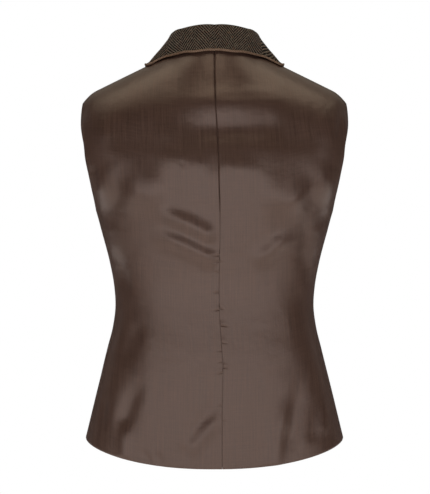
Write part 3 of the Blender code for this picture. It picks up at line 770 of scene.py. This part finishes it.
# ---- panels
def high_on_seam(z):
    """1 on the upper part of the middle seam, 0 on the lower."""
    return ease((z - SEAM_ROLL["fade_from"]) / SEAM_ROLL["fade_run"] + 1)


def middle_seam_sink(away, z):
    """How far the back sinks to the middle seam."""
    share = SEAM_ROLL["low"] + (1 - SEAM_ROLL["low"]) * high_on_seam(z)
    return SEAM_ROLL["depth"] * share * np.exp(-(away / SEAM_ROLL["half"]) ** 2)


def side_seam_sink(ang, z):
    """How far a panel sinks to its side seam, below the armhole."""
    away = (share_of_angle(SIDE_ANGLE) - np.abs(share_of_angle(ang))) * SHARE_LENGTH
    below = ease((UNDERARM + SIDE_SEAM["above"] - z) / SIDE_SEAM["run"])
    return SIDE_SEAM["depth"] * np.exp(-(away / SIDE_SEAM["half"]) ** 2) * below


def pucker_height(side, away, z):
    """How far the puckers beside the seam lift (+) or sink the cloth."""
    out = 0
    for where, height, reach, depth in PUCKERS:
        if where != side:
            continue
        along = np.clip(1 - away / reach, 0, 1) ** PUCKER["taper"] * ease(away / PUCKER["start"])
        line = height - away * PUCKER["droop"]
        out = out - depth * along * np.exp(-((z - line) / PUCKER["half"]) ** 2)
        roll = (z - line - PUCKER["roll_above"]) / PUCKER["roll_half"]
        out = out + PUCKER["roll"] * depth * along * np.exp(-roll ** 2)
    return out


def back_rows(count):
    """Shares of the way from the hem to the underarm, closer together at the puckers."""
    z = np.linspace(BACK_HEM["middle"], UNDERARM, ROW_DENSITY["samples"])
    density = np.ones_like(z)
    for _, height, _, _ in PUCKERS:
        off = (z - height + ROW_DENSITY["below"]) / ROW_DENSITY["half"]
        density += ROW_DENSITY["extra"] * np.exp(-off ** 2)
    run = np.cumsum(density)
    run = (run - run[0]) / (run[-1] - run[0])
    return np.interp(np.linspace(0, 1, count + 1)[:-1], run, np.linspace(0, 1, len(z)))


def back_columns():
    """Shares of the way from the middle seam to the side, closest at the seam."""
    near = [0, 0.0009, 0.0019, 0.003, 0.0043, 0.006, 0.0082, 0.011,
            0.0145, 0.019, 0.024, 0.03, 0.037, 0.045, 0.054]
    return np.concatenate([near, np.linspace(0.063, NECK_SHARE, 45)[:-1],
                           np.linspace(NECK_SHARE, 1, 62)])


def front_columns():
    """Shares of the way from the closing edge to the side, closest at the edge."""
    return np.concatenate([np.linspace(0, 0.03, 5)[:-1], np.linspace(0.03, 1, 92)])


def finish_panel(name, face, side, point, n):
    """Close a panel's wall, with its edges half a gap from their seams."""
    hem_rows = ROWS[face][0]
    on_ridge = np.abs(ridge_z(point[-1, :, 0]) - point[-1, :, 2]) < ON_RIDGE
    point[-1, on_ridge, 1] += face * SEAM_GAP / 2
    point[:hem_rows + 1, -1, 1] = face * SEAM_GAP / 2
    puff = np.full(point.shape[:2], SEAM_EDGE)
    puff[0] = FREE_EDGE[face]
    puff[hem_rows + 1:, -1] = FREE_EDGE[face]
    up = steps_along(point, 0)
    if face == FRONT:
        puff[:, 0] = FREE_EDGE[face]
        # the weave hangs midway between level and the run of the cloth from the hem
        up = (point[..., 2] - point[0, 0, 2]) * 0.5 + up * 0.5
    uv = np.stack([side * steps_along(point, 1), up], axis=-1) * MM
    thick, outside = (SATIN, SATIN_BACK) if face == BACK else (TWEED, TWEED_CLOTH)
    return closed_wall(name, point, point - n * thick, uv, puff, [outside, SATIN_LINING])


def make_back(name, side):
    hem_rows, arm_rows = ROWS[BACK]
    ang, z = panel(BACK, side, back_columns(), back_rows(hem_rows), arm_rows)
    point, n = cloth(BACK, side, ang, z)
    away = np.abs(point[..., 0] - curve(BACK_SEAM, "x", z))
    out = crease_height(CREASES, ang, point) - middle_seam_sink(away, z)
    out = out + pucker_height(side, away, z) - side_seam_sink(ang, z)
    return finish_panel(name, BACK, side, point + n * out[..., None], n)


def make_front(name, side):
    hem_rows, arm_rows = ROWS[FRONT]
    hem_shares = np.linspace(0, 1, hem_rows + 1)[:-1]
    ang, z = panel(FRONT, side, front_columns(), hem_shares, arm_rows)
    point, n = cloth(FRONT, side, ang, z)
    away = np.abs(side * point[..., 0] - curve(DART, "x", z))
    below = ease((DART_SINK["top"] - z) / DART_SINK["run"])
    dart = DART_SINK["depth"] * np.exp(-(away / DART_SINK["half"]) ** 2) * below
    point = point - n * (side_seam_sink(ang, z) + dart)[..., None]
    return finish_panel(name, FRONT, side, point, n)


# Seam thread: at what share of the satin's thickness it lies, and how much deeper high
# on the middle seam, where its last points run into the middle line; how far it
# starts above the hem, and how high it ends.
STITCHED = dict(radius=0.34, sides=6, deep=0.45, deeper=0.2, rows=420, side_rows=160, last=20,
                start=2.0, end=3.0, side_start=1.5, side_end=UNDERARM - 1.0)


def sunk_thread(ang, z):
    """Points inside the thickness of the back's cloth."""
    point, n = cloth(BACK, LEFT, ang, z)
    deep = STITCHED["deep"] + STITCHED["deeper"] * high_on_seam(z)
    return point - n * SATIN * deep[..., None]


def make_seam_threads():
    """The stitched lines that close the seams of the body, half sunk between the panels."""
    line = STITCHED
    z = np.linspace(BACK_HEM["middle"] + line["start"], line["end"], line["rows"])
    middle = sunk_thread(angle_at(BACK, curve(BACK_SEAM, "x", z), z), z)
    middle[-line["last"]:, 0] *= np.linspace(1, 0, line["last"])
    paths = [middle]
    for side in (LEFT, RIGHT):
        low = BACK_HEM["side"] + line["side_start"]
        z = np.linspace(low, line["side_end"], line["side_rows"])
        down = sunk_thread(np.full_like(z, side * SIDE_ANGLE), z)
        down[:, 1] = 0
        paths.append(down)
    return add_tubes("seam_threads", paths, line["radius"], line["sides"], SEAM_THREAD)


# ---- collar
def collar_station(side, along):
    """Collar section: outer and inner points, edge, fall and how far each is from the edge."""
    row = {k: float(curve(COLLAR, k, along, "along")) for k in COLLAR}

    def rim(a):
        f, x, z = neckline(a)
        x = max(x, NEAR_ZERO)
        return cloth(f, side, side * angle_at(f, x, z), z)
    point, n = rim(along)
    if along < TINY:
        point[0], n[0] = 0, 0
        run = np.array([side, 0, 0.0])
    else:
        step = min(COLLAR_STEP, along / 2)
        run = rim(min(along + step, 2))[0] - rim(along - step)[0]
    run, n = unit(run), unit(n)
    off = unit(np.cross(run, n)) * side
    turn = math.radians(row["turn"])
    up = math.cos(turn) * off + math.sin(turn) * n
    foot = point + off * (COLLAR_GAP + COLLAR_CLOTH / 2 * math.sin(turn)) - n * math.sin(turn)
    eface, eang, ez = roof_point(side, row["edge_x"], row["edge_over"])
    edge, en = cloth(eface, side, eang, ez)
    if along < TINY:
        edge[0], en[0] = 0, 0
    edge = edge + unit(en) * row["clear"]
    out = edge - foot
    out = unit(out - up * (out @ up))
    pe, qe = (edge - foot) @ out, (edge - foot) @ up
    h, r = row["stand"], row["radius"]
    far = math.hypot(pe - r, qe - h)
    end = math.atan2(qe - h, pe - r) + math.acos(min(r / far, 1))
    grid = COLLAR_GRID
    shares = np.linspace(0, grid["stand_share"], grid["stand"])
    flat = [(-STAND_BOW * h * min(2 * s, 1), h * s) for s in shares]
    turns = np.linspace(math.pi, end, grid["roll"])
    flat += [(r + r * math.cos(b), h + r * math.sin(b)) for b in turns]
    last = np.array(flat[-1])
    for s in np.linspace(0, 1, grid["fall"])[1:]:
        p = last + (np.array([pe, qe]) - last) * s
        q = unit(np.array([qe - last[1], last[0] - pe])) * -COLLAR_BOW * 4 * s * (1 - s)
        flat.append(tuple(p + q))
    flat = np.array(flat)
    run2 = unit(np.gradient(flat, axis=0))
    side2 = np.stack([-run2[:, 1], run2[:, 0]], axis=1)   # towards the roll's outside

    def to_space(f):
        return foot + f[:, :1] * out + f[:, 1:] * up
    outer = to_space(flat + side2 * COLLAR_CLOTH / 2)
    inner = to_space(flat - side2 * COLLAR_CLOTH / 2)
    fall = run2[-1, 0] * out + run2[-1, 1] * up
    fall = fall + en * max(-LEAST_DROP - fall @ en, 0)
    length = steps_along(flat)
    return outer, inner, to_space(flat[-1:])[0], fall, length[-1] - length


def make_collar():
    grid = COLLAR_GRID
    half = np.concatenate([np.linspace(0, 1, grid["behind"])[:-1], np.linspace(1, 2, grid["before"])])
    stations = [(RIGHT, a) for a in half[:0:-1]] + [(LEFT, a) for a in half]
    outer, inner, edge, fall, up = map(np.array, zip(*[collar_station(s, a) for s, a in stations]))
    roll = outer[:, grid["stand"] + grid["roll"] - 2]
    along = steps_along(roll)
    along = along - along[len(half) - 1]
    uv = np.stack([np.broadcast_to(-along[:, None], up.shape), up], axis=-1) * MM
    puff = np.full(up.shape, COLLAR_EDGE)
    collar = closed_wall("collar_cloth", outer, inner, uv, puff, [TWEED_CLOTH, TWEED_CLOTH])
    run = unit(np.gradient(edge, axis=0))
    beyond = unit(fall - run * (fall * run).sum(axis=1, keepdims=True))
    centres = edge + beyond * (PIPING_RADIUS + PIPING_GAP)
    points, faces, uvs = tube(centres, PIPING_RADIUS, PIPING_SIDES)
    piping = new_object("collar_piping_cord", points, faces, uvs, [PIPING_CLOTH])
    return collar, piping


# ---- buttons
def lay_on_front(x, z, lift):
    """A point on the lapping front, lifted off its cloth."""
    p, n = cloth(FRONT, RIGHT, angle_at(FRONT, x, z), z)
    return p + n * lift


def button_frame(height):
    """Centre of a button, and its own axes."""
    base, n = cloth(FRONT, RIGHT, NEAR_ZERO, height)
    u = unit(np.cross((0, 0, 1.0), n))
    v = np.cross(n, u)
    spread = BUTTON_RADIUS * np.array([-1, -0.5, 0, 0.5, 1])
    under = [lay_on_front(x + NEAR_ZERO, z, 0) for x in spread for z in height + spread]
    lift = max((p - base) @ n for p in under)
    return base + n * (BUTTON_THICK / 2 + lift + SEAM_GAP), u, v, n


def add_tubes(name, paths, radius, sides, material):
    """Several short threads in one mesh."""
    points, faces, uvs = [], [], []
    for path in paths:
        p, f, w = tube(path, radius, sides)
        faces += [[i + len(points) for i in face] for face in f]
        points += p
        uvs += w
    return new_object(name, points, faces, uvs, [material])


# A button's two bars of thread, their places and their rise over it.
THREAD_BARS = dict(holes=(-1.9, 1.9), threads=(-0.35, 0, 0.35), reach=2.1, points=9,
                   low=1.0, arch=0.55, dip=1.3, dip_from=0.8, radius=0.2, sides=5)
# A buttonhole and its stitches. A stitch is three points, each so far from the slit
# and so high above the cloth.
BUTTONHOLE = dict(start=-3.0, length=14.0, stitches=30, end_stitches=9, radius=0.2, sides=4)
SIDE_STITCH = ((0.25, 0.25), (0.8, 0.45), (1.6, 0.1))
END_STITCH = ((0.3, 0.25), (1.0, 0.45), (1.9, 0.1))


def make_button_threads():
    """Two bars of thread through the four holes of each button."""
    bar = THREAD_BARS
    paths = []
    for height in BUTTON_HEIGHTS:
        c, u, v, n = button_frame(height)
        for y in bar["holes"]:
            for k in bar["threads"]:
                line = []
                for s in np.linspace(-1, 1, bar["points"]):
                    dip = bar["dip"] * max(abs(s) - bar["dip_from"], 0) / (1 - bar["dip_from"])
                    lift = bar["low"] + bar["arch"] * math.cos(s * math.pi / 2) - dip
                    line.append(c + u * bar["reach"] * s + v * (y + k) + n * lift)
                paths.append(line)
    return add_tubes("button_threads", paths, bar["radius"], bar["sides"], DARK_THREAD)


def make_buttonholes():
    """Stitches round the slits of the lapping front."""
    hole = BUTTONHOLE
    end = hole["start"] + hole["length"]
    paths = []
    for height in BUTTON_HEIGHTS:
        for x in np.linspace(hole["start"], end, hole["stitches"]):
            for sign in (-1, 1):
                paths.append([lay_on_front(x, height + sign * off, lift) for off, lift in SIDE_STITCH])
        for b in np.linspace(-math.pi / 2, math.pi / 2, hole["end_stitches"]):
            paths.append([lay_on_front(end + r * math.cos(b), height + r * math.sin(b), lift)
                          for r, lift in END_STITCH])
    return add_tubes("buttonhole_stitches", paths, hole["radius"], hole["sides"], DARK_THREAD)


# ---- build
def ride(obj, slot, *nodes):
    """Fix a piece to the body and hide the solids it stands for; slot is not used."""
    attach(obj, "root")
    if nodes:
        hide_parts(*nodes)
    return obj


back_left = ride(make_back("back_left_satin", LEFT), "satin", "back_left")
back_right = ride(make_back("back_right_satin", RIGHT), "satin", "back_right")
front_left = ride(make_front("front_left_tweed", LEFT), "tweed", "front_left")
front_right = ride(make_front("front_right_tweed", RIGHT), "tweed", "front_right")
collar, piping = make_collar()
ride(collar, "tweed", "collar")
ride(piping, "piping", "collar_piping")
ride(make_seam_threads(), "satin")
ride(make_button_threads(), "button")
ride(make_buttonholes(), "tweed")
for i in range(len(BUTTON_HEIGHTS)):
    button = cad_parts[f"button_{i + 1}"]
    for slot in button.material_slots:
        slot.material = HORN


# ---- studio
# Metres from here on.
CENTRE = (0, 0, -0.27)  # what the lamps aim at, and the camera's height
FLOOR = dict(half_width=1.5, front=-0.85, back=1.5, height=-0.75)
WORLD_FILL = 0.06
WHITE, WARM = (1, 1, 1), (1.0, 0.9, 0.7)
# Softboxes: where they stand, width and height, watts and colour. One that isn't in
# the middle stands on either side.
SOFTBOXES = (
    ("softbox_front", (0, 2.7, -0.52), (5.2, 1.24), 49, WHITE),
    ("softbox_wing", (2.4, 1.9, -0.45), (1.1, 1.1), 4, WHITE),
    ("softbox_top", (0, -0.05, 2.1), (3.8, 1.5), 35, WARM),
    ("softbox_over_back", (0, 1.0, 1.6), (0.7, 0.7), 4, WARM),
    ("softbox_side", (2.3, -0.9, 0.6), (0.8, 1.6), 1.5, WHITE),
    ("softbox_front_top", (0, -2.2, 2.2), (4.4, 2.2), 11, WARM),
)
# This pair lights the tweed, and is kept out of the satin's and the buttons' reflections.
TWEED_BOX = ("softbox_fronts", (1.8, -2.6, 0.4), (1.6, 1.6), 60, WHITE)
# The picture is 494 pixels high, and a pixel is 1.4 mm in the garment's middle plane.
CAMERA = dict(distance=2.5, sensor=36.0, pixels=494, pixel_mm=1.4, shift_pixels=0.5,
              clip_start=0.05, clip_end=50)


def area_light(name, place, size, power, colour):
    """A rectangular lamp that aims at the garment."""
    data = bpy.data.lights.new(name, "AREA")
    data.shape = "RECTANGLE"
    data.size, data.size_y = size
    data.energy = power
    data.color = colour
    lamp = link(bpy.data.objects.new(name, data))
    lamp.location = place
    aim = Vector(CENTRE) - Vector(place)
    lamp.rotation_euler = aim.to_track_quat("-Z", "Y").to_euler()
    return lamp


def softboxes(name, place, *looks):
    """One lamp in the middle, or one on either side."""
    x, y, z = place
    if x == 0:
        return [area_light(name, place, *looks)]
    return [area_light(f"{name}_{side}", (x * side, y, z), *looks) for side in (LEFT, RIGHT)]


def make_floor():
    low, high = FLOOR["front"], FLOOR["back"]
    wide, z = FLOOR["half_width"], FLOOR["height"]
    corners = [(-wide, low, z), (wide, low, z), (wide, high, z), (-wide, high, z)]
    mesh = bpy.data.meshes.new("floor")
    mesh.from_pydata(corners, [], [(0, 1, 2, 3)])
    floor = link(bpy.data.objects.new("floor", mesh))
    white = Nodes("floor_white").finish(Base_Color=(0.85, 0.85, 0.85, 1), Roughness=0.9,
                                        Emission_Color=(1, 1, 1, 1), Emission_Strength=0.7)
    mesh.materials.append(white)


def make_world():
    """White to the camera, and a faint fill to the garment."""
    world = bpy.data.worlds.new("studio")
    bpy.context.scene.world = world
    world.use_nodes = True
    tree = world.node_tree
    tree.nodes.clear()
    backgrounds = []
    for strength in (WORLD_FILL, 1.0):
        background = tree.nodes.new("ShaderNodeBackground")
        background.inputs["Color"].default_value = (1, 1, 1, 1)
        background.inputs["Strength"].default_value = strength
        backgrounds.append(background)
    path = tree.nodes.new("ShaderNodeLightPath")
    mix = tree.nodes.new("ShaderNodeMixShader")
    out = tree.nodes.new("ShaderNodeOutputWorld")
    tree.links.new(path.outputs["Is Camera Ray"], mix.inputs[0])
    for socket, background in zip((mix.inputs[1], mix.inputs[2]), backgrounds):
        tree.links.new(background.outputs[0], socket)
    tree.links.new(mix.outputs[0], out.inputs[0])


def make_camera():
    c = CAMERA
    data = bpy.data.cameras.new("camera")
    camera = link(bpy.data.objects.new("camera", data))
    data.sensor_fit = "AUTO"
    data.sensor_width = c["sensor"]
    data.lens = c["sensor"] * c["distance"] / (c["pixels"] * c["pixel_mm"] * MM)
    data.clip_start, data.clip_end = c["clip_start"], c["clip_end"]
    camera.location = (0, c["distance"], CENTRE[2])
    camera.rotation_euler = (math.pi / 2, 0, math.pi)
    data.shift_x, data.shift_y = c["shift_pixels"] / c["pixels"], 0.0
    bpy.context.scene.camera = camera
    bpy.context.scene.view_settings.view_transform = "Standard"
    bpy.context.scene.view_settings.look = "None"


make_floor()
make_world()
for softbox in SOFTBOXES:
    softboxes(*softbox)
for lamp in softboxes(*TWEED_BOX):
    lamp.visible_glossy = False
make_camera()
